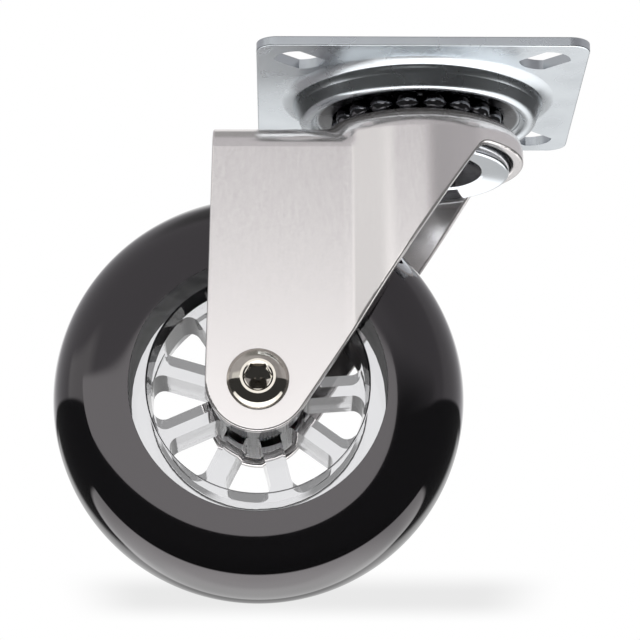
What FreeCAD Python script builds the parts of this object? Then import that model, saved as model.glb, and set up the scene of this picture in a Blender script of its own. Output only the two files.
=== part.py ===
import FreeCAD, Part
import math
import os

import Sketcher

# A swivel furniture castor with a 75 mm wheel.
# Millimetres. The origin is the centre of the plate's top face, on the swivel axis.
# +Z is up, the wheel trails towards -X, and its axle lies along Y.

driving_sizes = {
    # Top plate: zinc-plated sheet with a pressed dish that holds the upper balls
    "plate_side": 60.0,
    "plate_sheet": 1.8,
    "plate_corner": 3.8,
    "plate_edge": 0.25,
    "slot_width": 6.6,
    "slot_length": 9.4,
    "slot_end_radius": 4.4,
    "slot_reach": 31.4,
    "slot_count": 4.0,
    "dish_depth": 3.9,
    "dish_foot": 22.5,
    "dish_mouth": 23.6,
    "dish_foot_bend": 3.0,
    "dish_mouth_bend": 0.6,

    # Swivel bearing: a full ring of balls above the fork's crown and one below it
    "upper_ball": 4.76,
    "upper_ring": 13.8,
    "upper_ball_seat": 1.1,
    "lower_ball": 4.0,
    "lower_ring": 13.3,
    "bearing_gap": 2.9,
    "ball_spacing": 0.02,
    "ball_play": 0.05,
    "track_play": 0.07,

    # Kingpin: a shouldered rivet through the plate, the crown and the lower cup
    "pin_shank": 7.0,
    "pin_neck": 4.5,
    "pin_head": 8.5,
    "pin_head_height": 2.0,
    "pin_tail": 6.6,
    "pin_tail_height": 1.7,
    "pin_edge": 0.6,

    # Lower cup: a pressed ring under the crown, dished in the middle
    "cup_radius": 16.9,
    "cup_sheet": 1.4,
    "cup_slope": 0.6,
    "cup_dish_rim": 11.9,
    "cup_dish_floor": 9.2,
    "cup_dish_depth": 2.6,
    "cup_wall_top": 1.7,
    "cup_edge": 0.45,
    "cup_rim_bend": 1.3,

    # Fork: one sheet, pressed into a crown and two arms
    "fork_sheet": 2.0,
    "fork_bend": 4.5,
    "arm_play": 0.35,
    "skirt_gap": 0.7,
    "web_step": 2.8,
    "crown_hole_play": 0.5,
    "skirt_height": 6.3,
    "arm_end_radius": 9.5,
    "arm_lean": 33.3,
    "rear_edge_lean": 1.25,
    "nose_fillet": 2.4,
    "cheek_blend": 5.0,
    "inner_blend": 5.0,
    "sheet_edge": 0.45,

    # Wheel placing
    "swivel_offset": 29.5,
    "axle_drop": 59.5,

    # Axle: a button-head bolt in a spacer tube, with a lock nut
    "bolt_thread": 6.0,
    "bolt_play": 0.15,
    "bolt_head": 11.2,
    "bolt_head_height": 2.4,
    "bolt_head_flat": 6.4,
    "bolt_head_rim": 0.3,
    "bolt_head_dome": 3.8,
    "bolt_socket": 4.6,
    "bolt_socket_depth": 2.2,
    "bolt_socket_lip": 0.3,
    "bolt_socket_point": 1.2,
    "bolt_overrun": 1.0,
    "bolt_tip": 0.6,
    "nut_flats": 10.0,
    "nut_height": 6.0,
    "nut_collar": 2.0,
    "nut_collar_radius": 4.5,
    "nut_chamfer": 0.5,
    "nut_lip": 0.3,
    "insert_radius": 3.9,
    "insert_height": 1.6,
    "spacer_radius": 5.0,

    # Wheel: a clear moulded centre with nine spokes, two bushes and a moulded tyre
    "wheel_radius": 37.5,
    "wheel_width": 24.0,
    "tyre_crown_radius": 20.0,
    "tyre_shoulder": 8.0,
    "tyre_side": 30.0,
    "rim_radius": 23.35,
    "rim_lip_inner": 20.0,
    "rim_draft": 0.6,
    "spoke_thickness": 12.0,
    "spoke_width": 3.8,
    "spoke_count": 9.0,
    "spoke_turn": 3.9,
    "window_outer_corner": 2.0,
    "window_inner_corner": 0.8,
    "barrel_radius": 8.7,
    "rim_edge": 0.35,
    "bush_wall": 1.55,
    "bush_play": 0.05,
    "bush_flange": 7.8,
    "bush_flange_sheet": 0.85,
    "bush_length": 9.0,
}

doc = FreeCAD.newDocument("furniture_castor")
sheet = doc.addObject("Spreadsheet::Sheet", "sizes")
for row, (name, number) in enumerate(driving_sizes.items(), start=1):
    sheet.set("A%d" % row, name.replace("_", " "))
    sheet.set("B%d" % row, str(number))
    sheet.setAlias("B%d" % row, name)
doc.recompute()


class Size:
    """A size worked out from the driving ones, as a number and as the formula that binds it."""

    def __init__(self, number, formula):
        self.number = number
        self.formula = formula

    def joined(self, sign, other, number):
        right = other.formula if isinstance(other, Size) else repr(float(other))
        return Size(number, "(%s %s %s)" % (self.formula, sign, right))

    def __add__(self, other):
        return self.joined("+", other, self.number + plain(other))

    def __sub__(self, other):
        return self.joined("-", other, self.number - plain(other))

    def __mul__(self, other):
        return self.joined("*", other, self.number * plain(other))

    def __truediv__(self, other):
        return self.joined("/", other, self.number / plain(other))

    def __neg__(self):
        return Size(-self.number, "(0 - %s)" % self.formula)


def plain(size):
    return size.number if isinstance(size, Size) else float(size)


def driven(name):
    """A driving size, read from its cell."""
    return Size(float(sheet.get(name)), "sizes." + name)


def root(size):
    return Size(math.sqrt(size.number), "sqrt(%s)" % size.formula)


def sine(degrees):
    return Size(math.sin(math.radians(degrees.number)), "sin(%s * 1 deg)" % degrees.formula)


def cosine(degrees):
    return Size(math.cos(math.radians(degrees.number)), "cos(%s * 1 deg)" % degrees.formula)


def leg(hypotenuse, other_leg):
    """The third side of a right triangle."""
    return root(hypotenuse * hypotenuse - other_leg * other_leg)


def bind(owner, prop, size):
    owner.setExpression(prop, size.formula)


def make_body(name):
    body = doc.addObject("PartDesign::Body", name)
    body.Label = name
    return body


def make_sketch(body, name, plane_role):
    """An empty sketch on one of the body's own origin planes."""
    sketch = body.newObject("Sketcher::SketchObject", name)
    plane = [f for f in body.Origin.OriginFeatures if f.Role == plane_role][0]
    sketch.AttachmentSupport = [(plane, "")]
    sketch.MapMode = "FlatFace"
    return sketch


def pin_point(sketch, edge, end, x, y):
    """Fixes an edge's end point (1 start, 2 end, 3 centre) at x, y from the sketch's origin."""
    for kind, axis, size in (("DistanceX", -2, x), ("DistanceY", -1, y)):
        if plain(size) == 0.0 and not isinstance(size, Size):
            sketch.addConstraint(Sketcher.Constraint("PointOnObject", edge, end, axis))
        else:
            index = sketch.addConstraint(
                Sketcher.Constraint(kind, -1, 1, edge, end, plain(size)))
            if isinstance(size, Size):
                bind(sketch, "Constraints[%d]" % index, size)


def draw_outline(sketch, corners):
    """A closed outline through corners (x, y) or (x, y, radius).

    A radius makes the side that arrives at the corner an arc: positive bulges to the right of
    the way travelled (an anticlockwise turn), negative to the left.
    """
    first_edge = sketch.GeometryCount
    ends = []
    for number, corner in enumerate(corners):
        before = corners[number - 1]
        start = FreeCAD.Vector(plain(before[0]), plain(before[1]), 0)
        stop = FreeCAD.Vector(plain(corner[0]), plain(corner[1]), 0)
        if len(corner) == 2:
            edge = sketch.addGeometry(Part.LineSegment(start, stop), False)
            ends.append((edge, 1, 2))
            continue
        radius = plain(corner[2])
        chord = stop - start
        middle = (start + stop) * 0.5
        left = FreeCAD.Vector(-chord.y, chord.x, 0).normalize()
        rise = math.sqrt(max(radius * radius - chord.Length * chord.Length / 4, 0.0))
        turn = 1.0 if radius > 0 else -1.0
        centre = middle + left * (rise * turn)
        low, high = (start, stop) if radius > 0 else (stop, start)
        angle_low = math.atan2(low.y - centre.y, low.x - centre.x)
        angle_high = math.atan2(high.y - centre.y, high.x - centre.x)
        if angle_high < angle_low:
            angle_high += 2 * math.pi
        circle = Part.Circle(centre, FreeCAD.Vector(0, 0, 1), abs(radius))
        edge = sketch.addGeometry(Part.ArcOfCircle(circle, angle_low, angle_high), False)
        ends.append((edge, 1, 2) if radius > 0 else (edge, 2, 1))
    for number, corner in enumerate(corners):
        edge, start_end, stop_end = ends[number]
        next_edge, next_start, _ = ends[(number + 1) % len(ends)]
        sketch.addConstraint(
            Sketcher.Constraint("Coincident", edge, stop_end, next_edge, next_start))
        pin_point(sketch, edge, stop_end, corner[0], corner[1])
        if len(corner) == 3:
            size = corner[2]
            index = sketch.addConstraint(
                Sketcher.Constraint("Radius", edge, abs(plain(size))))
            if isinstance(size, Size):
                bind(sketch, "Constraints[%d]" % index, size if size.number > 0 else -size)
    return first_edge


def draw_circle(sketch, x, y, radius):
    centre = FreeCAD.Vector(plain(x), plain(y), 0)
    edge = sketch.addGeometry(
        Part.Circle(centre, FreeCAD.Vector(0, 0, 1), plain(radius)), False)
    pin_point(sketch, edge, 3, x, y)
    index = sketch.addConstraint(Sketcher.Constraint("Radius", edge, plain(radius)))
    bind(sketch, "Constraints[%d]" % index, radius)


def spin(body, name, sketch, axis="V_Axis", cut=False):
    """Turns a sketch right round one of its axes, as metal or as a cut."""
    kind = "PartDesign::Groove" if cut else "PartDesign::Revolution"
    feature = body.newObject(kind, name)
    feature.Profile = sketch
    feature.ReferenceAxis = (sketch, [axis])
    feature.Angle = 360.0
    return feature


def pad(body, name, sketch, length, side="One side", backwards=False):
    feature = body.newObject("PartDesign::Pad", name)
    feature.Profile = sketch
    feature.SideType = side
    feature.Reversed = backwards
    bind(feature, "Length", length)
    return feature


def pocket(body, name, sketch, length=None, side="Symmetric", backwards=False):
    """A cut of the given length, or right through."""
    feature = body.newObject("PartDesign::Pocket", name)
    feature.Profile = sketch
    feature.SideType = side
    feature.Reversed = backwards
    if length is None:
        feature.Type = "ThroughAll"
    else:
        bind(feature, "Length", length)
    return feature


def repeat_round(body, name, feature, sketch, count, axis="N_Axis"):
    pattern = body.newObject("PartDesign::PolarPattern", name)
    pattern.Originals = [feature]
    pattern.Axis = (sketch, [axis])
    pattern.Angle = 360.0
    bind(pattern, "Occurrences", count)
    body.Tip = pattern
    return pattern


def soften(body, name, feature, radius, wanted, kind="Fillet"):
    """Rounds (or chamfers) the edges of a feature that the test picks out."""
    doc.recompute()
    names = ["Edge%d" % (number + 1)
             for number, edge in enumerate(feature.Shape.Edges) if wanted(edge)]
    dress = body.newObject("PartDesign::" + kind, name)
    dress.Base = (feature, names)
    bind(dress, "Radius" if kind == "Fillet" else "Size", radius)
    return dress


def is_ring(edge, radius, height=None, axis="z"):
    """Whether an edge is a circle of this radius, and lies at this height along the axis."""
    if not isinstance(edge.Curve, Part.Circle):
        return False
    if abs(edge.Curve.Radius - plain(radius)) > 0.01:
        return False
    return height is None or abs(getattr(edge.Curve.Center, axis) - plain(height)) < 0.01


def place(body, x, y, z):
    for axis, size in (("x", x), ("y", y), ("z", z)):
        if isinstance(size, Size):
            bind(body, "Placement.Base." + axis, size)


# Heights and places that several pieces share
plate_sheet = driven("plate_sheet")
dish_floor_top = -driven("dish_depth")
dish_floor_under = dish_floor_top - plate_sheet
crown_top = dish_floor_under - driven("bearing_gap")
crown_under = crown_top - driven("fork_sheet")
upper_ball_radius = driven("upper_ball") / 2
lower_ball_radius = driven("lower_ball") / 2
upper_track_radius = upper_ball_radius + driven("track_play")
upper_ball_height = dish_floor_under - driven("upper_ball_seat")
lower_ball_height = crown_under - driven("ball_play") - lower_ball_radius
cup_floor = lower_ball_height - lower_ball_radius - driven("ball_play")
cup_under = cup_floor - driven("cup_sheet")
cup_centre_under = cup_under + driven("cup_dish_depth")
cup_centre_top = cup_centre_under + driven("cup_sheet")
crown_radius = driven("cup_radius") + driven("skirt_gap") + driven("fork_sheet")
wheel_half = driven("wheel_width") / 2
arm_inner = wheel_half + driven("bush_flange_sheet") + driven("arm_play")
arm_outer = arm_inner + driven("fork_sheet")
axle_x = -driven("swivel_offset")
axle_z = -driven("axle_drop")


def top_plate():
    """The plate: a flat square whose middle is pressed down into a round dish.

    Seen in section from the swivel axis outwards, the dish has a flat floor, a ridge over the
    balls, a flat ring, and a wall that leans out to the flat plate.
    """
    body = make_body("top_plate")
    half = driven("plate_side") / 2
    corner = driven("plate_corner")
    inner = half - corner
    flat = make_sketch(body, "plate_outline", "XY_Plane")
    draw_outline(flat, [
        (inner, -half), (half, -inner, corner),
        (half, inner), (inner, half, corner),
        (-inner, half), (-half, inner, corner),
        (-half, -inner), (-inner, -half, corner)])
    blank = pad(body, "plate_blank", flat, plate_sheet, backwards=True)
    soften(body, "plate_rim", blank, driven("plate_edge"),
           lambda edge: abs(edge.Vertexes[0].Z - edge.Vertexes[1].Z) < 0.01)

    foot = driven("dish_foot")
    mouth = driven("dish_mouth")
    depth = driven("dish_depth")
    run = mouth - foot
    wall = root(run * run + depth * depth)
    inward = plate_sheet * (wall - run) / depth
    ring = driven("upper_ring")
    crest = upper_track_radius + plate_sheet
    crest_half = leg(crest, dish_floor_top - upper_ball_height)
    hollow = make_sketch(body, "dish_hollow", "XZ_Plane")
    draw_outline(hollow, [
        (0, 0), (0, -plate_sheet), (mouth, -plate_sheet), (mouth, 0)])
    spin(body, "dish_opening", hollow, cut=True)
    section = make_sketch(body, "dish_section", "XZ_Plane")
    draw_outline(section, [
        (driven("pin_neck"), dish_floor_top), (driven("pin_neck"), dish_floor_under),
        (foot, dish_floor_under), (mouth, -plate_sheet), (mouth, 0),
        (mouth - inward, 0), (foot - inward, dish_floor_top),
        (ring + crest_half, dish_floor_top),
        (ring - crest_half, dish_floor_top, crest)])
    dish = spin(body, "dish", section)

    mouth_bend = driven("dish_mouth_bend")
    foot_bend = driven("dish_foot_bend")
    dish = soften(body, "mouth_bend", dish, mouth_bend,
                  lambda edge: is_ring(edge, mouth, -plate_sheet))
    dish = soften(body, "foot_bend", dish, foot_bend,
                  lambda edge: is_ring(edge, foot, dish_floor_under))
    dish = soften(body, "mouth_roll", dish, mouth_bend + plate_sheet,
                  lambda edge: is_ring(edge, mouth - inward, 0))
    soften(body, "foot_roll", dish, foot_bend / 2,
           lambda edge: is_ring(edge, foot - inward, dish_floor_top))

    track = make_sketch(body, "ball_track", "XZ_Plane")
    draw_circle(track, ring, upper_ball_height, upper_track_radius)
    spin(body, "track", track, cut=True)

    slot = make_sketch(body, "slot_outline", "XY_Plane")
    slot_half = driven("slot_width") / 2
    end = driven("slot_end_radius")
    straight = driven("slot_length") / 2 - end + leg(end, slot_half)
    reach = driven("slot_reach")
    diagonal = math.sqrt(0.5)

    def on_diagonal(along, across):
        return ((reach + along - across) * diagonal, (reach + along + across) * diagonal)

    draw_outline(slot, [
        on_diagonal(-straight, -slot_half) + (end,), on_diagonal(straight, -slot_half),
        on_diagonal(straight, slot_half) + (end,), on_diagonal(-straight, slot_half)])
    cut = pocket(body, "slot", slot)
    repeat_round(body, "slots", cut, slot, driven("slot_count"))
    return body


def kingpin():
    """The rivet that holds the bearing together: its shoulders space the plate from the cup."""
    body = make_body("kingpin")
    section = make_sketch(body, "kingpin_section", "XZ_Plane")
    head = driven("pin_head")
    neck = driven("pin_neck")
    tail = driven("pin_tail")
    shank = driven("pin_shank")
    edge = driven("pin_edge")
    head_top = dish_floor_top + driven("pin_head_height")
    tail_end = cup_centre_under - driven("pin_tail_height")
    draw_outline(section, [
        (0, tail_end), (tail - edge, tail_end), (tail, tail_end + edge),
        (tail, cup_centre_under), (neck, cup_centre_under), (neck, cup_centre_top),
        (shank, cup_centre_top), (shank, dish_floor_under), (neck, dish_floor_under),
        (neck, dish_floor_top), (head, dish_floor_top), (head, head_top - edge),
        (head - edge, head_top), (0, head_top)])
    spin(body, "kingpin_turned", section)
    return body


def lower_cup():
    """The pressed ring under the crown that carries the lower balls, dished for the rivet."""
    body = make_body("lower_cup")
    section = make_sketch(body, "cup_section", "XZ_Plane")
    radius = driven("cup_radius")
    thickness = driven("cup_sheet")
    rim = driven("cup_dish_rim")
    floor = driven("cup_dish_floor")
    run = rim - floor
    depth = driven("cup_dish_depth")
    outward = thickness * (root(run * run + depth * depth) - run) / depth
    wall_top = crown_under - driven("cup_wall_top")
    neck = driven("pin_neck")
    draw_outline(section, [
        (neck, cup_centre_top), (neck, cup_centre_under), (floor, cup_centre_under),
        (rim, cup_under), (radius, cup_under - driven("cup_slope")), (radius, wall_top),
        (radius - thickness, wall_top), (radius - thickness, cup_floor),
        (rim + outward, cup_floor), (floor + outward, cup_centre_top)])
    cup = spin(body, "cup_pressed", section)
    cup = soften(body, "cup_rim", cup, driven("cup_rim_bend"),
                 lambda edge: is_ring(edge, rim, cup_under))
    cup = soften(body, "cup_floor_bend", cup, driven("cup_rim_bend") / 2,
                 lambda edge: is_ring(edge, floor, cup_centre_under))
    soften(body, "cup_outer_edge", cup, driven("cup_edge"),
           lambda edge: is_ring(edge, radius, cup_under - driven("cup_slope")))
    return body


def ball_ring(name, radius, ring, height):
    """A full ring of loose steel balls round the kingpin: as many as fit."""
    pitch = 2 * math.asin(plain(radius + driven("ball_spacing") / 2) / plain(ring))
    count = int(2 * math.pi / pitch)
    balls = []
    for number in range(count):
        angle = 2 * math.pi * number / count
        ball = doc.addObject("Part::Sphere", "%s_%02d" % (name, number + 1))
        ball.Label = ball.Name
        bind(ball, "Radius", radius)
        bind(ball, "Placement.Base.x", ring * math.cos(angle))
        bind(ball, "Placement.Base.y", ring * math.sin(angle))
        bind(ball, "Placement.Base.z", height)
        balls.append(ball)
    return balls


def fork():
    """The fork: one sheet, drawn into a round crown with a skirt, a flat web and two arms.

    The arms' cheeks are flat behind the crown and follow its round side under it.
    """
    body = make_body("fork")
    thickness = driven("fork_sheet")
    half = arm_outer
    radius = crown_radius
    bend = driven("fork_bend")
    web_top = crown_top - driven("web_step")
    arm_end = driven("arm_end_radius")
    base = axle_z - arm_end * 1.2
    rear = driven("swivel_offset") + arm_end * 1.2

    def channel_corners(inset):
        side = half - inset
        turn = bend - inset
        top = web_top - inset
        return [
            (-side, base), (side, base), (side, top - turn), (side - turn, top, turn),
            (turn - side, top), (-side, top - turn, turn)]

    def crown_corners(inset):
        side = radius - inset
        turn = bend - inset
        top = crown_top - inset
        return [
            (0, top), (0, base), (side, base), (side, top - turn), (side - turn, top, turn)]

    def is_meeting(edge, inset):
        """Whether an edge is where the channel's skin meets the round skin of the crown."""
        side = plain(half - inset)
        reach = plain(radius - inset)
        for share in (0.3, 0.7):
            spot = edge.valueAt(
                edge.FirstParameter + (edge.LastParameter - edge.FirstParameter) * share)
            if spot.x > -1.0 or not lies_on(spot, side, plain(web_top - inset), plain(bend - inset)):
                return False
            out = math.hypot(spot.x, spot.y)
            if not lies_on(FreeCAD.Vector(0, out, spot.z), reach, plain(crown_top - inset),
                           plain(bend - inset)):
                return False
        return True

    outside = make_sketch(body, "channel_outside", "YZ_Plane")
    draw_outline(outside, channel_corners(0.0))
    pad(body, "channel", outside, rear, backwards=True)
    crown = make_sketch(body, "crown_outside", "XZ_Plane")
    draw_outline(crown, crown_corners(0.0))
    crown = spin(body, "crown", crown)
    soften(body, "outer_blend", crown, driven("cheek_blend"), lambda edge: is_meeting(edge, 0.0))
    inside = make_sketch(body, "channel_inside", "YZ_Plane")
    draw_outline(inside, channel_corners(thickness))
    pocket(body, "channel_hollow", inside, rear, side="One side")
    hollow = make_sketch(body, "crown_inside", "XZ_Plane")
    draw_outline(hollow, crown_corners(thickness))
    hollow = spin(body, "crown_hollow", hollow, cut=True)
    soften(body, "hollow_blend", hollow, driven("inner_blend"),
           lambda edge: is_meeting(edge, thickness))

    # Seen from the side, what lies outside the arms is cut away: the rear edge leans a little,
    # the end is round about the axle, and the front edge runs straight up to the crown's skirt.
    side = make_sketch(body, "arm_outline", "XZ_Plane")
    lean = driven("arm_lean")
    rear_lean = driven("rear_edge_lean")
    skirt = crown_top - driven("skirt_height")
    fillet = driven("nose_fillet")
    front_x = axle_x + arm_end * cosine(lean)
    front_z = axle_z - arm_end * sine(lean)
    rear_x = axle_x - arm_end * cosine(rear_lean)
    rear_z = axle_z + arm_end * sine(rear_lean)
    crest_x = front_x + (skirt - front_z) * sine(lean) / cosine(lean)
    ease = fillet * (Size(1.0, "1") - sine(lean)) / cosine(lean)
    clear = radius + thickness
    draw_outline(side, [
        (-rear * 1.1, clear), (rear_x + (clear - rear_z) * sine(rear_lean) / cosine(rear_lean), clear),
        (rear_x, rear_z), (front_x, front_z, arm_end),
        (crest_x - ease * sine(lean), skirt - ease * cosine(lean)),
        (crest_x + ease, skirt, -fillet),
        (clear, skirt), (clear, base - clear), (-rear * 1.1, base - clear)])
    trim = pocket(body, "arm_trim", side)

    # The cut sheet's edges are tumbled round, inside and outside.
    doc.recompute()
    lines = ((rear_x, rear_z, rear_lean), (front_x, front_z, lean))
    cut_edges = []
    for face in trim.Shape.Faces:
        surface = face.Surface
        spot = face.CenterOfMass
        if isinstance(surface, Part.Plane):
            beside = [(spot.x - plain(x)) * plain(cosine(turn)) - (spot.z - plain(z)) * plain(sine(turn))
                      for x, z, turn in lines]
            along = [abs(surface.Axis.x * plain(sine(turn)) + surface.Axis.z * plain(cosine(turn)))
                     for x, z, turn in lines]
            cut = any(abs(off) < 0.01 and skew < 0.01 for off, skew in zip(beside, along))
            cut = cut or abs(spot.z - plain(skirt)) < 0.01
        else:
            cut = isinstance(surface, Part.Cylinder) and abs(surface.Axis.y) > 0.99
            cut = cut and min(abs(surface.Radius - plain(arm_end)),
                              abs(surface.Radius - plain(fillet))) < 0.01
        if cut:
            cut_edges += face.Edges
    soften(body, "rounded_rim", trim, driven("sheet_edge"),
           lambda edge: sum(edge.isSame(other) for other in cut_edges) == 1)

    axle = make_sketch(body, "axle_hole_outline", "XZ_Plane")
    draw_circle(axle, axle_x, axle_z, driven("bolt_thread") / 2 + driven("bolt_play"))
    pocket(body, "axle_holes", axle)
    centre = make_sketch(body, "crown_hole_outline", "XY_Plane")
    draw_circle(centre, 0, 0, driven("pin_shank") + driven("crown_hole_play"))
    pocket(body, "crown_hole", centre, side="One side")
    track = make_sketch(body, "crown_track", "XZ_Plane")
    draw_circle(track, driven("upper_ring"), upper_ball_height, upper_track_radius)
    spin(body, "crown_ball_track", track, cut=True)
    return body


def lies_on(spot, side, top, turn):
    """Whether a point is on a skin with a flat top, a rounded corner and an upright side."""
    across = abs(spot.y) - (side - turn)
    up = spot.z - (top - turn)
    if across > 0 and up > 0:
        return abs(math.hypot(across, up) - turn) < 0.01
    return abs(max(across, up) - turn) < 0.01


def on_axle(body):
    """Moves a body, drawn about its own origin, to the axle."""
    place(body, axle_x, 0, axle_z)
    return body


def at_depth(sketch, y):
    """Moves a sketch on the XZ plane along Y."""
    bind(sketch, "AttachmentOffset.Base.z", -y)


def hexagon(sketch, flats):
    corner = flats / math.sqrt(3)
    draw_outline(sketch, [
        (corner * math.cos(math.radians(60 * number)) if number != 0 else corner,
         corner * math.sin(math.radians(60 * number)) if number % 3 else 0)
        for number in range(6)])


def turned(name, corners, mirrored=False):
    """A piece turned about the axle: corners are (radius, distance along Y)."""
    body = make_body(name)
    section = make_sketch(body, name + "_section", "XY_Plane")
    if mirrored:
        corners = [(corner[0], -corner[1]) + tuple(corner[2:]) for corner in reversed(corners)]
    draw_outline(section, corners)
    spin(body, name + "_turned", section)
    return body


def axle_bolt():
    """The button-head bolt with its hexagon socket."""
    head = driven("bolt_head") / 2
    thread = driven("bolt_thread") / 2
    side = -arm_outer
    top = side - driven("bolt_head_height")
    end = arm_outer + driven("nut_height") + driven("bolt_overrun")
    tip = driven("bolt_tip")
    body = turned("axle_bolt", [
        (0, top), (driven("bolt_head_flat") / 2, top),
        (head, side - driven("bolt_head_rim"), driven("bolt_head_dome")), (head, side),
        (thread, side), (thread, end - tip), (thread - tip, end), (0, end)])
    socket = make_sketch(body, "socket_outline", "XZ_Plane")
    at_depth(socket, top)
    hexagon(socket, driven("bolt_socket"))
    pocket(body, "socket", socket, driven("bolt_socket_depth"), side="One side")
    # The drill's cone at the bottom of the socket, and the lip that the punch leaves round it
    lip = driven("bolt_socket_lip")
    mouth = driven("bolt_socket") / math.sqrt(3) + lip / 3
    floor = top + driven("bolt_socket_depth")
    for name, corners in (
            ("socket_lip", [(0, top), (mouth, top), (mouth - lip, top + lip), (0, top + lip)]),
            ("socket_point", [(0, floor), (driven("bolt_socket") / 2, floor),
                              (0, floor + driven("bolt_socket_point"))])):
        section = make_sketch(body, name + "_section", "XY_Plane")
        draw_outline(section, corners)
        spin(body, name, section, cut=True)
    return on_axle(body)


def axle_nut():
    """The lock nut: a hexagon with a round collar that is closed over its nylon ring."""
    body = make_body("axle_nut")
    flats = driven("nut_flats")
    seat = arm_outer
    top = seat + driven("nut_height")
    shoulder = top - driven("nut_collar")
    thread = driven("bolt_thread") / 2
    outline = make_sketch(body, "nut_outline", "XZ_Plane")
    at_depth(outline, seat)
    hexagon(outline, flats)
    pad(body, "nut_blank", outline, driven("nut_height") - driven("nut_collar"),
        backwards=True)
    collar = make_sketch(body, "collar_section", "XY_Plane")
    radius = driven("nut_collar_radius")
    draw_outline(collar, [(0, seat), (radius, seat), (radius, top), (0, top)])
    spin(body, "collar", collar)
    chamfer = driven("nut_chamfer")
    point = flats / math.sqrt(3)
    for name, face, way in (("seat", seat, 1), ("shoulder", shoulder, -1)):
        corners = make_sketch(body, name + "_chamfer_section", "XY_Plane")
        draw_outline(corners, [
            (point - chamfer, face), (point + chamfer, face),
            (point + chamfer, face + chamfer * way)])
        spin(body, name + "_chamfer", corners, cut=True)
    bore = make_sketch(body, "nut_bore_section", "XY_Plane")
    lip = top - driven("nut_lip")
    ring = driven("insert_radius")
    draw_outline(bore, [
        (0, seat), (thread, seat), (thread, lip - driven("insert_height")),
        (ring, lip - driven("insert_height")), (ring, lip), (thread, lip), (thread, top),
        (0, top)])
    spin(body, "nut_bore", bore, cut=True)
    return on_axle(body)


def nut_insert():
    """The nylon ring that keeps the nut from working loose."""
    lip = arm_outer + driven("nut_height") - driven("nut_lip")
    thread = driven("bolt_thread") / 2
    ring = driven("insert_radius")
    return on_axle(turned("nut_insert", [
        (thread, lip - driven("insert_height")), (ring, lip - driven("insert_height")),
        (ring, lip), (thread, lip)]))


def axle_spacer():
    """The tube that the bolt clamps between the arms, and that the wheel turns on."""
    bore = driven("bolt_thread") / 2 + driven("bolt_play")
    radius = driven("spacer_radius")
    return on_axle(turned("axle_spacer", [
        (bore, -arm_inner), (radius, -arm_inner), (radius, arm_inner), (bore, arm_inner)]))


def bush(name, mirrored):
    """A flanged plain bush, pressed into one end of the wheel's barrel."""
    bore = driven("spacer_radius") + driven("bush_play")
    outer = bore + driven("bush_wall")
    face = -wheel_half
    flange = face - driven("bush_flange_sheet")
    inner_end = face + driven("bush_length")
    return on_axle(turned(name, [
        (bore, flange), (driven("bush_flange"), flange), (driven("bush_flange"), face),
        (outer, face), (outer, inner_end), (bore, inner_end)], mirrored))


def wheel_centre():
    """The clear moulded centre: barrel, nine spokes and the rim that the tyre is moulded on."""
    half = wheel_half
    web = driven("spoke_thickness") / 2
    bore = driven("spacer_radius") + driven("bush_play") + driven("bush_wall")
    barrel = driven("barrel_radius")
    rim = driven("rim_radius")
    lip = driven("rim_lip_inner")
    root_radius = lip - driven("rim_draft")
    body = turned("wheel_centre", [
        (bore, -half), (barrel, -half), (barrel, -web), (root_radius, -web), (lip, -half),
        (rim, -half), (rim, half), (lip, half), (root_radius, web), (barrel, web),
        (barrel, half), (bore, half)])
    soften(body, "moulded_edges", body.Tip, driven("rim_edge"),
           lambda edge: is_ring(edge, lip) or (
               is_ring(edge, barrel) and abs(edge.Curve.Center.y) > plain(web) + 0.01))

    # One window, between two neighbouring spokes: straight along each spoke, round at the rim
    # and at the barrel, with rounded corners.
    count = driven("spoke_count")
    first = driven("spoke_turn")
    second = first + Size(360.0, "360") / count
    side = driven("spoke_width") / 2
    outer = root_radius
    inner = barrel
    outer_corner = driven("window_outer_corner")
    inner_corner = driven("window_inner_corner")
    outer_along = leg(outer - outer_corner, side + outer_corner)
    inner_along = leg(inner + inner_corner, side + inner_corner)

    def beside_first(along, across, scale=1.0):
        x = along * cosine(first) - across * sine(first)
        z = along * sine(first) + across * cosine(first)
        return (x * scale, z * scale)

    def beside_second(along, across, scale=1.0):
        x = along * cosine(second) + across * sine(second)
        z = along * sine(second) - across * cosine(second)
        return (x * scale, z * scale)

    outer_scale = outer / (outer - outer_corner)
    inner_scale = inner / (inner + inner_corner)
    window = make_sketch(body, "window_outline", "XZ_Plane")
    draw_outline(window, [
        beside_first(inner_along, side) + (inner_corner,),
        beside_first(outer_along, side),
        beside_first(outer_along, side + outer_corner, outer_scale) + (outer_corner,),
        beside_second(outer_along, side + outer_corner, outer_scale) + (outer,),
        beside_second(outer_along, side) + (outer_corner,),
        beside_second(inner_along, side),
        beside_second(inner_along, side + inner_corner, inner_scale) + (inner_corner,),
        beside_first(inner_along, side + inner_corner, inner_scale) + (-inner,)])
    cut = pocket(body, "window", window)
    repeat_round(body, "windows", cut, window, count)
    return on_axle(body)


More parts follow.
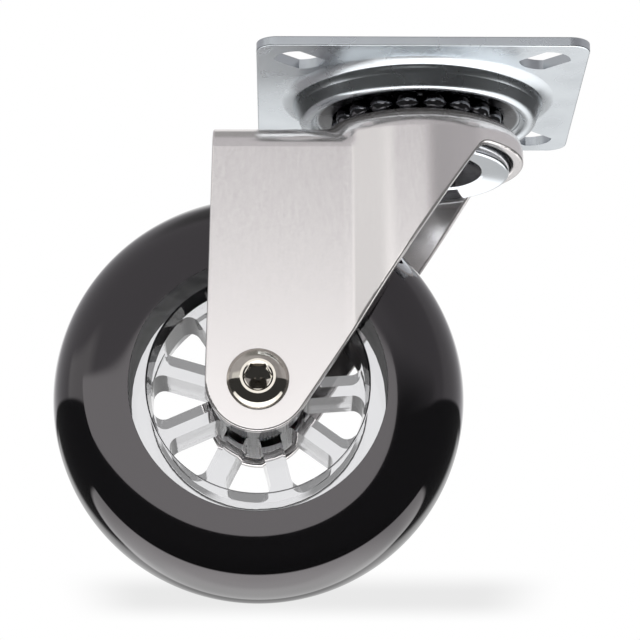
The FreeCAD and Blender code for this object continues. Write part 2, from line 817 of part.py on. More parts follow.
def tyre():
    """The tyre: sides that leave the rim level and curve away, shoulders and a crowned tread."""
    half = wheel_half
    rim = driven("rim_radius")
    side = driven("tyre_side")
    shoulder = driven("tyre_shoulder")
    crown = driven("tyre_crown_radius")
    crown_centre = driven("wheel_radius") - crown
    side_centre = half - side
    # The shoulder's arc touches the side's and the crown's from inside, so its centre lies
    # at a known distance from each of their centres.
    to_side = side - shoulder
    to_crown = crown - shoulder
    out = rim - crown_centre
    span = root(out * out + side_centre * side_centre)
    along_span = (to_side * to_side - to_crown * to_crown + span * span) / (span * 2)
    off_span = leg(to_side, along_span)
    centre_r = rim - (along_span * out + off_span * side_centre) / span
    centre_y = side_centre + (off_span * out - along_span * side_centre) / span
    tread_edge = crown_centre + (centre_r - crown_centre) * crown / to_crown
    tread = centre_y * crown / to_crown
    bend_r = rim + (centre_r - rim) * side / to_side
    bend_y = side_centre + (centre_y - side_centre) * side / to_side
    return on_axle(turned("tyre", [
        (rim, -half), (bend_r, -bend_y, side), (tread_edge, -tread, shoulder),
        (tread_edge, tread, crown), (bend_r, bend_y, shoulder), (rim, half, side)]))


pieces = [top_plate(), kingpin(), lower_cup(), fork()]
pieces += ball_ring("upper_ball", upper_ball_radius, driven("upper_ring"), upper_ball_height)
pieces += ball_ring("lower_ball", lower_ball_radius, driven("lower_ring"), lower_ball_height)
pieces += [axle_bolt(), axle_nut(), nut_insert(), axle_spacer()]
pieces += [bush("near_bush", False), bush("far_bush", True), wheel_centre(), tyre()]

doc.recompute()
for item in doc.Objects:
    if "Invalid" in item.State or "Error" in item.State:
        raise RuntimeError("failed: " + item.Name)
for piece in pieces:
    if piece.Shape.isNull() or not piece.Shape.isValid():
        raise RuntimeError("not a sound solid: " + piece.Label)
os.makedirs("parts", exist_ok=True)
for piece in pieces:
    piece.Shape.exportStep("parts/%s.step" % piece.Label)
print("%d pieces, together %.1f cubic millimetres" % (
    len(pieces), sum(piece.Shape.Volume for piece in pieces)))
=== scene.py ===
import math

import bpy
import numpy as np
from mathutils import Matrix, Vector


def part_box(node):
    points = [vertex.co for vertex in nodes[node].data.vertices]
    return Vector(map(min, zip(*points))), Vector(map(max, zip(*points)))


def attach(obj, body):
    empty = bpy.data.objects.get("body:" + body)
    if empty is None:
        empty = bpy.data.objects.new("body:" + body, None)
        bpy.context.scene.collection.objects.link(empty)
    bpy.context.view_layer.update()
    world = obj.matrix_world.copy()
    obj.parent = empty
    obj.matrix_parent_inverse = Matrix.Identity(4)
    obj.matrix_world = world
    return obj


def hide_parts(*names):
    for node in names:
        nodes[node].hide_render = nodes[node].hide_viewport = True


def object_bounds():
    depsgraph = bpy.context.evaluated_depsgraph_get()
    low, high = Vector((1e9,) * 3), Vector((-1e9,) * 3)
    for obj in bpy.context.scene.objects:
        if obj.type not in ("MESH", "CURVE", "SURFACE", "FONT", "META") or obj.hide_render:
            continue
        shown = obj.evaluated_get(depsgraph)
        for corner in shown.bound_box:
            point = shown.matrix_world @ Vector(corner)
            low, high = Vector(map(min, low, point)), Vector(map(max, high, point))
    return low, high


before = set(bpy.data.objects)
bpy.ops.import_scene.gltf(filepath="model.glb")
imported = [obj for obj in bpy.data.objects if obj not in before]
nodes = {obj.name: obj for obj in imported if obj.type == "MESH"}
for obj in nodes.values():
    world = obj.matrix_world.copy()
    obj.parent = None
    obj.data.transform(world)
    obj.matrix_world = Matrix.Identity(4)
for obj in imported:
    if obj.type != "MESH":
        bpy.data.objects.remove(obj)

cad_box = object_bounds()
scene = bpy.context.scene
scene.view_settings.view_transform = "Standard"


# Top plate: screwed under the furniture, with the round dish of the swivel head pressed
# into it. It is steel sheet, punched and pressed, then bright zinc plated: a bluish grey
# that mirrors softly, a little cloudy, with the sheet's fine rolled skin.
def painted(code, opacity=1.0):
    """The linear colour of an sRGB hex code: each channel over 255, then the sRGB curve."""
    channels = np.array([int(code[i:i + 2], 16) / 255.0 for i in (1, 3, 5)])
    linear = np.where(channels <= 0.04045, channels / 12.92, ((channels + 0.055) / 1.055) ** 2.4)
    return (*linear.tolist(), opacity)


def add_node(tree, kind, inputs, **settings):
    """Adds one node, with its settings, and its inputs as values or as another node's output."""
    node = tree.nodes.new(kind)
    for name, value in settings.items():
        setattr(node, name, value)
    for name, value in inputs.items():
        if isinstance(value, bpy.types.NodeSocket):
            tree.links.new(value, node.inputs[name])
        else:
            node.inputs[name].default_value = value
    return node


def new_finish(name, **values):
    """A material of that name with one surface shader. Its plain values are given by the
    sockets' names, in small letters and with _ between the words."""
    finish = bpy.data.materials.new(name)
    finish.use_nodes = True
    surface = finish.node_tree.nodes["Principled BSDF"]
    for key, value in values.items():
        socket = key.replace("_", " ").title().replace("Ior", "IOR")
        surface.inputs[socket].default_value = value
    return finish, finish.node_tree, surface


def vary(tree, surface, pattern, shades, gloss=None, span=(0.3, 0.7)):
    """Lets a pattern mix the surface's colour from two shades. Where gloss gives two values,
    the roughness goes from the first to the second as the pattern goes over the span."""
    tint = add_node(tree, "ShaderNodeMix", {
        "Factor": pattern, "A": painted(shades[0]), "B": painted(shades[1])},
        data_type="RGBA").outputs["Result"]
    tree.links.new(tint, surface.inputs["Base Color"])
    if gloss:
        rough = add_node(tree, "ShaderNodeMapRange", {
            "Value": pattern, "From Min": span[0], "From Max": span[1],
            "To Min": gloss[0], "To Max": gloss[1]})
        tree.links.new(rough.outputs["Result"], surface.inputs["Roughness"])
    return tint


def dress(finish, *names):
    """Gives the finish to the material slots of the CAD nodes with those names."""
    for name in names:
        for slot in nodes[name].material_slots:
            slot.material = finish


def turned_mesh(name, section, centre, axis, steps):
    """A closed ring round the axis "Y" or "Z" through the centre. The section's points (r, h),
    taken anticlockwise, are carried round the axis: each lies r cos a and r sin a across it,
    a growing in equal steps, and h along it."""
    angle = np.linspace(0.0, 2.0 * math.pi, steps, endpoint=False)[:, None]
    points = np.stack((
        section[None, :, 0] * np.cos(angle), section[None, :, 0] * np.sin(angle),
        np.broadcast_to(section[None, :, 1], (steps, len(section)))), 2)
    if axis == "Y":
        points = np.roll(points, -1, axis=2)
    points = (points + np.array(centre)).reshape(-1, 3)
    row = np.arange(steps)[:, None] * len(section)
    next_row = np.roll(row, -1, axis=0)
    point = np.arange(len(section))[None, :]
    next_point = np.roll(point, -1, axis=1)
    faces = np.stack((row + point, next_row + point, next_row + next_point,
                      row + next_point), 2).reshape(-1, 4)
    mesh = bpy.data.meshes.new(name)
    mesh.from_pydata(points.tolist(), [], faces.tolist())
    mesh.update()
    mesh.shade_smooth()
    return mesh


# The rolled skin's real grain is under a tenth of a millimetre, and is drawn coarser to show.
zinc_cloud_mm = 9.0
zinc_skin_mm = 0.35
zinc_skin_deep_mm = 0.01
zinc, tree, surface = new_finish("bright_zinc_plated_steel", metallic=1.0)
place = add_node(tree, "ShaderNodeTexCoord", {}).outputs["Object"]
cloud = add_node(tree, "ShaderNodeTexNoise", {
    "Vector": place, "Scale": 1000.0 / zinc_cloud_mm, "Detail": 3.0}).outputs["Fac"]
skin = add_node(tree, "ShaderNodeTexNoise", {
    "Vector": place, "Scale": 1000.0 / zinc_skin_mm, "Detail": 2.0}).outputs["Fac"]
plated = vary(tree, surface, cloud, ("#BCC1C6", "#CBD0D3"), gloss=(0.24, 0.32))

# The race under the plate is darkened below its level, inside its radius: partly by its grease,
# and partly by painted shade in the recess between the plate and the crown.
race_radius = 0.0188
race_radius_fade = 0.0004
race_level = -0.0050
race_level_fade = 0.0003
from_axis = add_node(tree, "ShaderNodeVectorMath", {
    0: place, 1: (1.0, 1.0, 0.0)}, operation="MULTIPLY").outputs["Vector"]
radius = add_node(tree, "ShaderNodeVectorMath", {
    0: from_axis}, operation="LENGTH").outputs["Value"]
within = add_node(tree, "ShaderNodeMapRange", {
    "Value": radius, "From Min": race_radius - race_radius_fade,
    "From Max": race_radius + race_radius_fade, "To Min": 1.0, "To Max": 0.0}).outputs["Result"]
height = add_node(tree, "ShaderNodeSeparateXYZ", {"Vector": place}).outputs["Z"]
race_grease_and_shade = add_node(tree, "ShaderNodeMapRange", {
    "Value": height, "From Min": race_level - race_level_fade, "From Max": race_level,
    "To Min": within, "To Max": 0.0}).outputs["Result"]
# The dark grey mixed in here stands for the grease and for painted shade in the race's recess.
tint = add_node(tree, "ShaderNodeMix", {
    "Factor": race_grease_and_shade, "A": plated, "B": painted("#3C3C3E")}, data_type="RGBA")
grain = add_node(tree, "ShaderNodeBump", {
    "Height": skin, "Strength": 0.35, "Distance": zinc_skin_deep_mm / 1000.0})
tree.links.new(tint.outputs["Result"], surface.inputs["Base Color"])
tree.links.new(grain.outputs["Normal"], surface.inputs["Normal"])
dress(zinc, "top_plate")

# The press rounds the dish off: the sheet flares into it by a shallow curve, turns over a
# crisp corner, and runs down a straight steep flank into a rounded foot. This skin lies over
# the CAD plate's plainer dish. Angles are in degrees, and the flank's is from upright.
dish_depth = 0.0039
flare_radius = 0.0258
corner_radius = 0.0233
corner_drop = 0.00295
corner_break = np.array((0.00005, 0.00012))
foot_middle = np.array((0.02084, -0.00560))
foot_bend = 0.0013
foot_start_angle = -145.0
flank_lean = 21.0
foot_tip = np.array([(0.01850, -0.00550), (0.01925, -0.00583)])
way_back = np.array([(flare_radius, -0.0015), (0.0230, -0.0015), (0.0220, -0.0035),
                     (0.0213, -0.0050), (0.0190, -0.0053)])
sheet_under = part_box("top_plate")[0][2] + dish_depth
skin_overlap = 0.00002
round_steps = 288


def dish_section():
    """The dish's lower skin from its foot's inner end outwards: the foot is an arc, middle +
    bend (cos t, sin t), that ends along the flank, and the flare drops from the sheet by the
    square of the way to the corner. It closes inside the sheet, where it can't be seen."""
    turn = np.linspace(math.radians(foot_start_angle), math.radians(-flank_lean), 30)[:, None]
    foot = foot_middle + foot_bend * np.concatenate((np.cos(turn), np.sin(turn)), 1)
    corner = np.array((corner_radius, -corner_drop))
    broken_corner = np.stack((corner - corner_break, corner))
    flank = foot[-1] + (broken_corner[0] - foot[-1]) * np.linspace(0.06, 0.94, 8)[:, None]
    way = np.linspace(0.97, 0.0, 24)[:, None]
    flare = np.concatenate((
        flare_radius + (corner_radius - flare_radius) * way,
        sheet_under + skin_overlap - (corner_drop + sheet_under) * way ** 2), 1)
    return np.concatenate((foot_tip, foot, flank, broken_corner, flare, way_back))


dish_mesh = turned_mesh("dish_skin", dish_section(), (0.0, 0.0, 0.0), "Z", round_steps)
dish = bpy.data.objects.new("dish_skin", dish_mesh)
scene.collection.objects.link(dish)
dish_mesh.materials.append(zinc)
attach(dish, "mounting")


# Kingpin: the rivet that holds the swivel head together, closed over under the lower cup. It
# is drawn steel, plain and lightly oiled, dull where the press tool squeezed its head.
squeeze_mark_mm = 1.111
rivet, tree, surface = new_finish("plain_rivet_steel", metallic=1.0)
place = add_node(tree, "ShaderNodeTexCoord", {}).outputs["Object"]
marks = add_node(tree, "ShaderNodeTexNoise", {
    "Vector": place, "Scale": 1000.0 / squeeze_mark_mm, "Detail": 4.0}).outputs["Fac"]
vary(tree, surface, marks, ("#8F9194", "#B5B7BA"), gloss=(0.25, 0.4))
dress(rivet, "kingpin")


# Balls: two rings of bearing balls, hardened chrome steel, ground and lapped to a dark mirror
# and lightly greased, so that each one shows a single small point of light.
ball_grease_mm = 0.8
ball, tree, surface = new_finish("lapped_bearing_steel", metallic=1.0)
place = add_node(tree, "ShaderNodeTexCoord", {}).outputs["Object"]
grease = add_node(tree, "ShaderNodeTexNoise", {
    "Vector": place, "Scale": 1000.0 / ball_grease_mm, "Detail": 2.0}).outputs["Fac"]
vary(tree, surface, grease, ("#66666A", "#8A8A8E"), gloss=(0.05, 0.14), span=(0.35, 0.7))
dress(ball, *[name for name in nodes if "_ball_" in name])


# Lower cup: the deep pressed cup that the rivet pulls up under the crown, and that carries the
# lower balls. It is drawn steel with the plate's zinc, brighter because drawing burnished it.
cup, tree, surface = new_finish("burnished_zinc_plated_steel", metallic=1.0)
place = add_node(tree, "ShaderNodeTexCoord", {}).outputs["Object"]
cloud = add_node(tree, "ShaderNodeTexNoise", {
    "Vector": place, "Scale": 1000.0 / zinc_cloud_mm, "Detail": 3.0}).outputs["Fac"]
vary(tree, surface, cloud, ("#CDD2D7", "#DEE2E6"), gloss=(0.06, 0.10))
dress(cup, "lower_cup")


# Fork: one steel blank, cut, pressed over the ball race and folded into two arms, then brushed
# and satin nickel plated: a warm light grey whose fine upright grain spreads reflections. A
# haze lies over the mirror, so the plating is a little less than fully metallic.
nickel_speck_mm = 0.5
# The real brush marks are about 0.05 mm apart, and are drawn coarser to show.
brush_across_mm = 0.35
brush_along_mm = 2.2
brush_deep_mm = 0.01
nickel, tree, surface = new_finish("satin_nickel_plated_steel", metallic=0.82)
place = add_node(tree, "ShaderNodeTexCoord", {}).outputs["Object"]
upright = add_node(tree, "ShaderNodeMapping", {
    "Vector": place, "Scale": (1.0, 1.0, brush_across_mm / brush_along_mm)}).outputs["Vector"]
brushed = add_node(tree, "ShaderNodeTexNoise", {
    "Vector": upright, "Scale": 1000.0 / brush_across_mm, "Detail": 3.0}).outputs["Fac"]
speck = add_node(tree, "ShaderNodeTexNoise", {
    "Vector": place, "Scale": 1000.0 / nickel_speck_mm, "Detail": 4.0}).outputs["Fac"]
blend = add_node(tree, "ShaderNodeMix", {
    "Factor": 0.5, "A": brushed, "B": speck}, data_type="FLOAT").outputs["Result"]
vary(tree, surface, blend, ("#DAD6D5", "#E8E4E3"), gloss=(0.16, 0.21))
grain = add_node(tree, "ShaderNodeBump", {
    "Height": blend, "Strength": 0.35, "Distance": brush_deep_mm / 1000.0})
tree.links.new(grain.outputs["Normal"], surface.inputs["Normal"])
dress(nickel, "fork")


# Wheel centre: the spoked centre, injection moulded in clear polycarbonate in a polished
# mould. Light bends through its spokes and rim, and faint flow marks ripple its faces.
flow_mark_mm = 3.0
flow_mark_deep_mm = 0.06
clear, tree, surface = new_finish(
    "clear_moulded_polycarbonate", base_color=painted("#DDDDDF"), roughness=0.015,
    ior=1.55, transmission_weight=1.0)
place = add_node(tree, "ShaderNodeTexCoord", {}).outputs["Object"]
flow = add_node(tree, "ShaderNodeTexNoise", {
    "Vector": place, "Scale": 1000.0 / flow_mark_mm, "Detail": 2.0}).outputs["Fac"]
ripple = add_node(tree, "ShaderNodeBump", {
    "Height": flow, "Strength": 0.3, "Distance": flow_mark_deep_mm / 1000.0})
tree.links.new(ripple.outputs["Normal"], surface.inputs["Normal"])
dress(clear, "wheel_centre")


# Tyre: black polyurethane cast round the clear centre and bonded to it. It comes out of a
# polished mould as glossy as lacquer, deep black, with only a trace of orange peel. Its bore,
# seen through the centre, is matt where it is bonded.
bore_radius = 0.02330
rim_radius = 0.02335
side_arc = 0.0300
shoulder_arc = 0.0080
crown_arc = 0.0200


def tyre_section(radius, half):
    """The tyre's outline, as (distance from the axle, place along it): a side arc of 30 mm
    that leaves the rim level, a shoulder arc of 8 mm and a tread arc of 20 mm. The shoulder's
    centre is where circles of side - shoulder and crown - shoulder round theirs cross. The
    outline ends with the bore, which is the last stretch back to its first point."""
    side_centre = np.array((rim_radius, half - side_arc))
    crown_centre = np.array((radius - crown_arc, 0.0))
    to_side, to_crown = side_arc - shoulder_arc, crown_arc - shoulder_arc
    span = np.linalg.norm(crown_centre - side_centre)
    along = (crown_centre - side_centre) / span
    off = np.array((along[1], -along[0]))
    reach = (to_side ** 2 - to_crown ** 2 + span ** 2) / (2.0 * span)
    shoulder_centre = (side_centre + reach * along
                       + math.sqrt(to_side ** 2 - reach ** 2) * off)
    tread_turn = math.asin(shoulder_centre[1] / to_crown)
    bend_turn = math.acos((shoulder_centre[0] - rim_radius) / to_side)
    arcs = []
    for centre, arc, start, stop, steps in (
            (crown_centre, crown_arc, 0.0, tread_turn, 14),
            (shoulder_centre, shoulder_arc, tread_turn, bend_turn, 30),
            (side_centre, side_arc, bend_turn, math.pi / 2, 16)):
        turn = np.linspace(start, stop, steps, endpoint=False)[:, None]
        arcs.append(centre + arc * np.concatenate((np.cos(turn), np.sin(turn)), 1))
    half_line = np.concatenate(arcs + [[(rim_radius, half), (bore_radius, half)]])
    return np.concatenate((half_line[:0:-1] * (1.0, -1.0), half_line))


spacer_low, spacer_high = (np.array(corner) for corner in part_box("axle_spacer"))
tyre_low, tyre_high = (np.array(corner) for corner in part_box("tyre"))
wheel_middle = (spacer_low + spacer_high) / 2
wheel_reach = np.minimum(tyre_high - wheel_middle, wheel_middle - tyre_low)
tyre_outline = tyre_section(float(wheel_reach[[0, 2]].min()), float(wheel_reach[1]))
tyre_mesh = turned_mesh("cast_tyre", tyre_outline, wheel_middle, "Y", round_steps)
tyre = bpy.data.objects.new("cast_tyre", tyre_mesh)
scene.collection.objects.link(tyre)

peel_mm = 1.6
peel_deep_mm = 0.01
black, tree, surface = new_finish(
    "glossy_cast_polyurethane", base_color=painted("#0A0A0C"), roughness=0.06, ior=1.52,
    specular_tint=painted("#FFF1F8"), coat_weight=1.0, coat_roughness=0.02, coat_ior=1.5)
place = add_node(tree, "ShaderNodeTexCoord", {}).outputs["Object"]
peel = add_node(tree, "ShaderNodeTexNoise", {
    "Vector": place, "Scale": 1000.0 / peel_mm, "Detail": 1.0}).outputs["Fac"]
orange = add_node(tree, "ShaderNodeBump", {
    "Height": peel, "Strength": 0.12, "Distance": peel_deep_mm / 1000.0})
tree.links.new(orange.outputs["Normal"], surface.inputs["Normal"])
bonded, _, _ = new_finish(
    "bonded_polyurethane", base_color=painted("#48484B"), roughness=0.9, specular_ior_level=0.0)
tyre_mesh.materials.append(black)
tyre_mesh.materials.append(bonded)
face_finish = np.zeros((round_steps, len(tyre_outline)), dtype=np.int32)
face_finish[:, -1] = 1
tyre_mesh.polygons.foreach_set("material_index", face_finish.ravel())
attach(tyre, "wheel")
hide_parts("tyre")


# Bushes and spacer: two flanged bushes, moulded in grey nylon and pressed into the centre's
# barrel, turn on a steel tube. The nylon is matt and slightly waxy, and the tube is cut and
# turned bright. The lathe's feed marks are drawn coarser than the real ones, to show.
bush_flow_mm = 1.667
bush, tree, surface = new_finish(
    "grey_moulded_nylon", roughness=0.42, subsurface_weight=0.1, subsurface_scale=0.0008)
place = add_node(tree, "ShaderNodeTexCoord", {}).outputs["Object"]
flow = add_node(tree, "ShaderNodeTexNoise", {
    "Vector": place, "Scale": 1000.0 / bush_flow_mm, "Detail": 3.0}).outputs["Fac"]
vary(tree, surface, flow, ("#86868A", "#A0A0A3"))
dress(bush, "near_bush", "far_bush")

# A wave texture takes the sine of 20 times its scale times the length.
turning_mark_mm = 1.571
wave_length = 2.0 * math.pi / 20.0
spacer, tree, surface = new_finish("turned_spacer_steel", metallic=1.0, roughness=0.22)
place = add_node(tree, "ShaderNodeTexCoord", {}).outputs["Object"]
turned = add_node(tree, "ShaderNodeTexWave", {
    "Vector": place, "Scale": 1000.0 * wave_length / turning_mark_mm},
    bands_direction="Y").outputs["Fac"]
vary(tree, surface, turned, ("#9C9EA2", "#B4B6BA"))
dress(spacer, "axle_spacer")


# Axle bolt and nut: a button-head bolt with a hexagon socket, and its lock nut. Both are cold
# forged steel, tumbled and bright nickel plated, so they mirror sharply in a faintly yellow
# grey.
tumble_mark_mm = 0.714
bright, tree, surface = new_finish("bright_nickel_plated_steel", metallic=1.0)
place = add_node(tree, "ShaderNodeTexCoord", {}).outputs["Object"]
tumbled = add_node(tree, "ShaderNodeTexNoise", {
    "Vector": place, "Scale": 1000.0 / tumble_mark_mm, "Detail": 3.0}).outputs["Fac"]
vary(tree, surface, tumbled, ("#C2BCB2", "#D2CDC4"), gloss=(0.05, 0.09))
dress(bright, "axle_bolt", "axle_nut")


# Nut insert: the nylon ring in the nut's collar that grips the thread. It is moulded, milky
# white and matt, and light goes a little way into it.
insert_flow_mm = 1.111
insert, tree, surface = new_finish(
    "white_nylon_ring", roughness=0.45, subsurface_weight=0.15, subsurface_scale=0.0006)
place = add_node(tree, "ShaderNodeTexCoord", {}).outputs["Object"]
flow = add_node(tree, "ShaderNodeTexNoise", {
    "Vector": place, "Scale": 1000.0 / insert_flow_mm, "Detail": 2.0}).outputs["Fac"]
vary(tree, surface, flow, ("#DCDCD6", "#E8E8E4"))
dress(insert, "nut_insert")


# Camera: it looks slightly up at the castor from its side, from about 0.6 m away, through a
# long lens, so that the plate's underside and the swivel head can be seen.
camera_target = np.array((-0.01829, 0.0, -0.04446))
camera_azimuth = math.radians(-0.57)
camera_elevation = math.radians(-15.17)
camera_distance = 0.59944
focal_pixels = 3258.83
photo_pixels = 640.0
sensor_mm = 36.0

camera_back = np.array((
    math.sin(camera_azimuth) * math.cos(camera_elevation),
    -math.cos(camera_azimuth) * math.cos(camera_elevation),
    math.sin(camera_elevation)))
camera_data = bpy.data.cameras.new("camera")
camera_data.sensor_fit = "HORIZONTAL"
camera_data.sensor_width = sensor_mm
camera_data.lens = focal_pixels * sensor_mm / photo_pixels
camera_data.clip_start = 0.01
camera_data.clip_end = 20.0
camera = bpy.data.objects.new("camera", camera_data)
scene.collection.objects.link(camera)
camera.location = (camera_target + camera_back * camera_distance).tolist()
camera.rotation_euler = (math.pi / 2 - camera_elevation, 0.0, camera_azimuth)
scene.camera = camera


# Studio: the white room round the castor. Plain even light falls on everything, while polished
# faces mirror the room: soft grey walls, a dark front below them with one bright panel beside
# the camera, and a bright table that ends just ahead of the castor.
studio = bpy.data.worlds.new("photo_studio")
scene.world = studio
studio.use_nodes = True
tree = studio.node_tree
background = tree.nodes["Background"]

# Directions in degrees: the azimuth is 0 at the camera and grows to the right, and around is
# how far it is from the camera to either side. The elevation is 0 level with the castor.
towards = add_node(tree, "ShaderNodeTexCoord", {}).outputs["Generated"]
along = add_node(tree, "ShaderNodeSeparateXYZ", {"Vector": towards})
front = add_node(tree, "ShaderNodeMath", {0: along.outputs["Y"], 1: -1.0}, operation="MULTIPLY")
azimuth = add_node(tree, "ShaderNodeMath", {
    0: along.outputs["X"], 1: front.outputs["Value"]}, operation="ARCTAN2")
elevation = add_node(tree, "ShaderNodeMath", {0: along.outputs["Z"]}, operation="ARCSINE")
azimuth, elevation = (add_node(tree, "ShaderNodeMath", {
    0: angle.outputs["Value"]}, operation="DEGREES").outputs["Value"]
    for angle in (azimuth, elevation))
around = add_node(tree, "ShaderNodeMath", {0: azimuth}, operation="ABSOLUTE").outputs["Value"]

# The front panel is an ellipse that leans to the left towards its top: its middle runs along
# azimuth = middle + lean (level - elevation). Its measure is 1 at its outline.
panel_level = 11.0
panel_middle = -14.0
panel_lean = 0.6
panel_half_width = 24.0
panel_half_height = 17.0
drop = add_node(tree, "ShaderNodeMath", {
    0: panel_level, 1: elevation}, operation="SUBTRACT").outputs["Value"]
middle = add_node(tree, "ShaderNodeMath", {
    0: drop, 1: panel_lean, 2: panel_middle}, operation="MULTIPLY_ADD").outputs["Value"]
aside = add_node(tree, "ShaderNodeMath", {
    0: azimuth, 1: middle}, operation="SUBTRACT").outputs["Value"]
across = add_node(tree, "ShaderNodeMath", {0: aside, 1: panel_half_width}, operation="DIVIDE")
down = add_node(tree, "ShaderNodeMath", {0: drop, 1: panel_half_height}, operation="DIVIDE")
panel_place = add_node(tree, "ShaderNodeCombineXYZ", {
    "X": across.outputs["Value"], "Y": down.outputs["Value"]}).outputs["Vector"]
panel = add_node(tree, "ShaderNodeVectorMath", {
    0: panel_place}, operation="LENGTH").outputs["Value"]

# The table's front edge is where a ray going down reaches a set distance ahead per drop.
sunk = add_node(tree, "ShaderNodeMath", {
    0: along.outputs["Z"]}, operation="ABSOLUTE").outputs["Value"]
ahead = add_node(tree, "ShaderNodeMath", {
    0: along.outputs["Y"], 1: sunk}, operation="DIVIDE").outputs["Value"]
on_table = (ahead, -0.36, -0.26)


def step_over(value, low, high):
    """Rises smoothly from 0 to 1 as the value goes from low to high, which may run down."""
    rising = high > low
    return add_node(tree, "ShaderNodeMapRange", {
        "Value": value, "From Min": min(low, high), "From Max": max(low, high),
        "To Min": 0.0 if rising else 1.0, "To Max": 1.0 if rising else 0.0},
        interpolation_type="SMOOTHSTEP").outputs["Result"]


def hang(room, light, *edges):
    """Puts a panel of that light into the room, where every edge's step is at 1. Each edge
    is a measure of the direction and the two values between which the panel fades in."""
    cover = None
    for measure, low, high in edges:
        edge = step_over(measure, low, high)
        cover = edge if cover is None else add_node(
            tree, "ShaderNodeMath", {0: cover, 1: edge}, operation="MULTIPLY").outputs["Value"]
    return add_node(tree, "ShaderNodeMix", {
        "Factor": cover, "A": room, "B": (*light, 1.0)}, data_type="RGBA").outputs["Result"]


# The walls, darker at the front right and white behind the castor, and the dim ceiling.
walls = add_node(tree, "ShaderNodeRGB", {})
walls.outputs["Color"].default_value = (0.55, 0.54, 0.56, 1.0)
room = walls.outputs["Color"]
room = hang(room, (0.42, 0.41, 0.43), (azimuth, 2, 20), (azimuth, 75, 60))
room = hang(room, (1.0, 1.0, 1.0), (around, 150, 172))
room = hang(room, (0.3, 0.3, 0.3), (elevation, 58, 74))
# A bright side panel on the left.
room = hang(
    room, (0.95, 0.95, 0.95), (azimuth, -88, -76), (azimuth, -26, -34), (elevation, 26, 20))
# The dark front, higher at the right of the camera, and the grey foot of the wall behind.
room = hang(room, (0.05, 0.05, 0.05), (around, 168, 150), (elevation, 11, 9.5))
room = hang(room, (0.05, 0.05, 0.05), (azimuth, 4, 9), (azimuth, 55, 12), (elevation, 19, 11))
room = hang(room, (0.6, 0.6, 0.6), (around, 145, 155), (elevation, 9, 7))
# The leaning front panel, cut off level at its top.
room = hang(room, (1.6, 1.6, 1.6), (panel, 1.01, 0.99), (elevation, 16.4, 14.6))
# The table, brighter the steeper it is looked down on.
room = hang(room, (1.5, 1.5, 1.5), on_table, (elevation, -19, -22))
room = hang(room, (2.8, 2.8, 2.8), on_table, (elevation, -26, -60))
room = hang(room, (3.2, 3.2, 3.2), on_table, (elevation, -60, -80))

# Light bent through the clear plastic comes from the white background, with a grey band low
# behind the castor, and only steeply up and down from the room.
through = hang(room, (1.0, 1.0, 1.0), (elevation, -60, -40), (elevation, 60, 50))
through = hang(through, (0.3, 0.3, 0.3), (around, 135, 150), (elevation, -26, -20),
               (elevation, 4, 1))
rays = add_node(tree, "ShaderNodeLightPath", {})
plain = add_node(tree, "ShaderNodeMix", {
    "Factor": rays.outputs["Is Glossy Ray"], "A": (1.0, 1.0, 1.0, 1.0), "B": room},
    data_type="RGBA").outputs["Result"]
seen = add_node(tree, "ShaderNodeMix", {
    "Factor": rays.outputs["Is Transmission Ray"], "A": plain, "B": through},
    data_type="RGBA").outputs["Result"]
tree.links.new(seen, background.inputs["Color"])
background.inputs["Strength"].default_value = 1.0


# Floor: the pale table top that the wheel stands on. It keeps the castor's shadow, fades into
# the white room further out, and can be looked through from below, as the camera does.
floor_reach = 1.5
floor_level = float(cad_box[0][2])
fade_start = 0.18
fade_end = 0.5
floor_mesh = bpy.data.meshes.new("floor")
floor_mesh.from_pydata(
    [(-floor_reach, -floor_reach, floor_level), (floor_reach, -floor_reach, floor_level),
     (floor_reach, floor_reach, floor_level), (-floor_reach, floor_reach, floor_level)],
    [], [(0, 1, 2, 3)])
floor = bpy.data.objects.new("floor", floor_mesh)
scene.collection.objects.link(floor)
table = bpy.data.materials.new("white_table_top")
table.use_nodes = True
tree = table.node_tree
tree.nodes.clear()
place = add_node(tree, "ShaderNodeTexCoord", {}).outputs["Object"]
distance = add_node(tree, "ShaderNodeVectorMath", {0: place}, operation="LENGTH").outputs["Value"]
far = add_node(tree, "ShaderNodeMapRange", {
    "Value": distance, "From Min": fade_start, "From Max": fade_end},
    interpolation_type="SMOOTHSTEP")
matt = add_node(tree, "ShaderNodeBsdfDiffuse", {"Color": painted("#F4F4F3")})
glow = add_node(tree, "ShaderNodeEmission", {"Color": (1.0, 1.0, 1.0, 1.0), "Strength": 1.0})
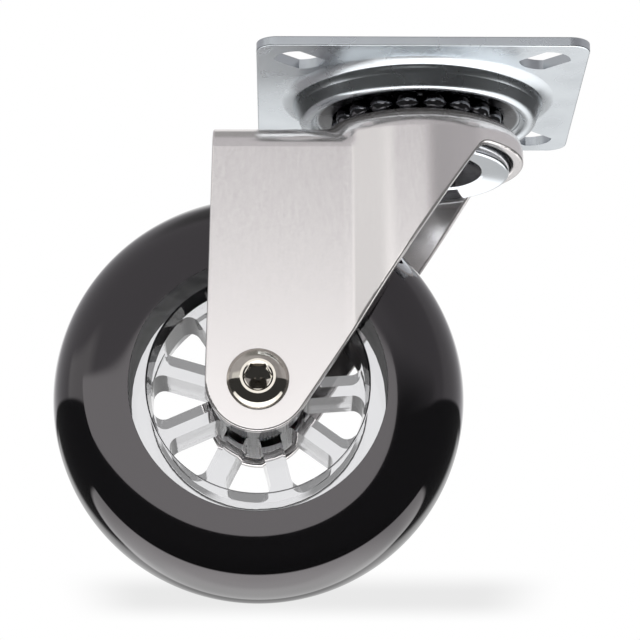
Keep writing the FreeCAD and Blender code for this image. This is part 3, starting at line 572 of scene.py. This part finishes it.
top = add_node(tree, "ShaderNodeMixShader", {
    0: far.outputs["Result"], 1: matt.outputs["BSDF"], 2: glow.outputs["Emission"]})

# From below, the table top is clear but for the soft grey shade under the castor: it is full
# within the first of each pair of distances from its middle, and gone at the second.
shade_middle = (-0.020, -0.005, 0.0)
shade_across = (0.0287, 0.0451)
shade_deep = (0.0039, 0.028)
apart = add_node(tree, "ShaderNodeVectorMath", {
    0: place, 1: shade_middle}, operation="SUBTRACT").outputs["Vector"]
apart = add_node(tree, "ShaderNodeVectorMath", {0: apart}, operation="ABSOLUTE").outputs["Vector"]
apart = add_node(tree, "ShaderNodeSeparateXYZ", {"Vector": apart})
fading = add_node(tree, "ShaderNodeMapRange", {
    "Value": apart.outputs["Y"], "From Min": shade_deep[0], "From Max": shade_deep[1]},
    interpolation_type="SMOOTHSTEP")
lighter = add_node(tree, "ShaderNodeMapRange", {
    "Value": apart.outputs["X"], "From Min": shade_across[0], "From Max": shade_across[1],
    "To Min": fading.outputs["Result"], "To Max": 1.0}, interpolation_type="SMOOTHSTEP")
shade = add_node(tree, "ShaderNodeMix", {
    "Factor": lighter.outputs["Result"], "A": painted("#E9E9E9"), "B": painted("#FFFFFF")},
    data_type="RGBA").outputs["Result"]
underside = add_node(tree, "ShaderNodeBsdfTransparent", {"Color": shade})

# It is clear to mirrored and bent rays too, so that they show the studio.
rays = add_node(tree, "ShaderNodeLightPath", {})
side = add_node(tree, "ShaderNodeNewGeometry", {})
bent = add_node(tree, "ShaderNodeMath", {
    0: rays.outputs["Is Transmission Ray"], 1: rays.outputs["Is Glossy Ray"]},
    operation="MAXIMUM").outputs["Value"]
open_to = add_node(tree, "ShaderNodeMath", {
    0: side.outputs["Backfacing"], 1: bent}, operation="MAXIMUM")
shown = add_node(tree, "ShaderNodeMixShader", {
    0: open_to.outputs["Value"], 1: top.outputs["Shader"], 2: underside.outputs["BSDF"]})
add_node(tree, "ShaderNodeOutputMaterial", {"Surface": shown.outputs["Shader"]})
floor_mesh.materials.append(table)
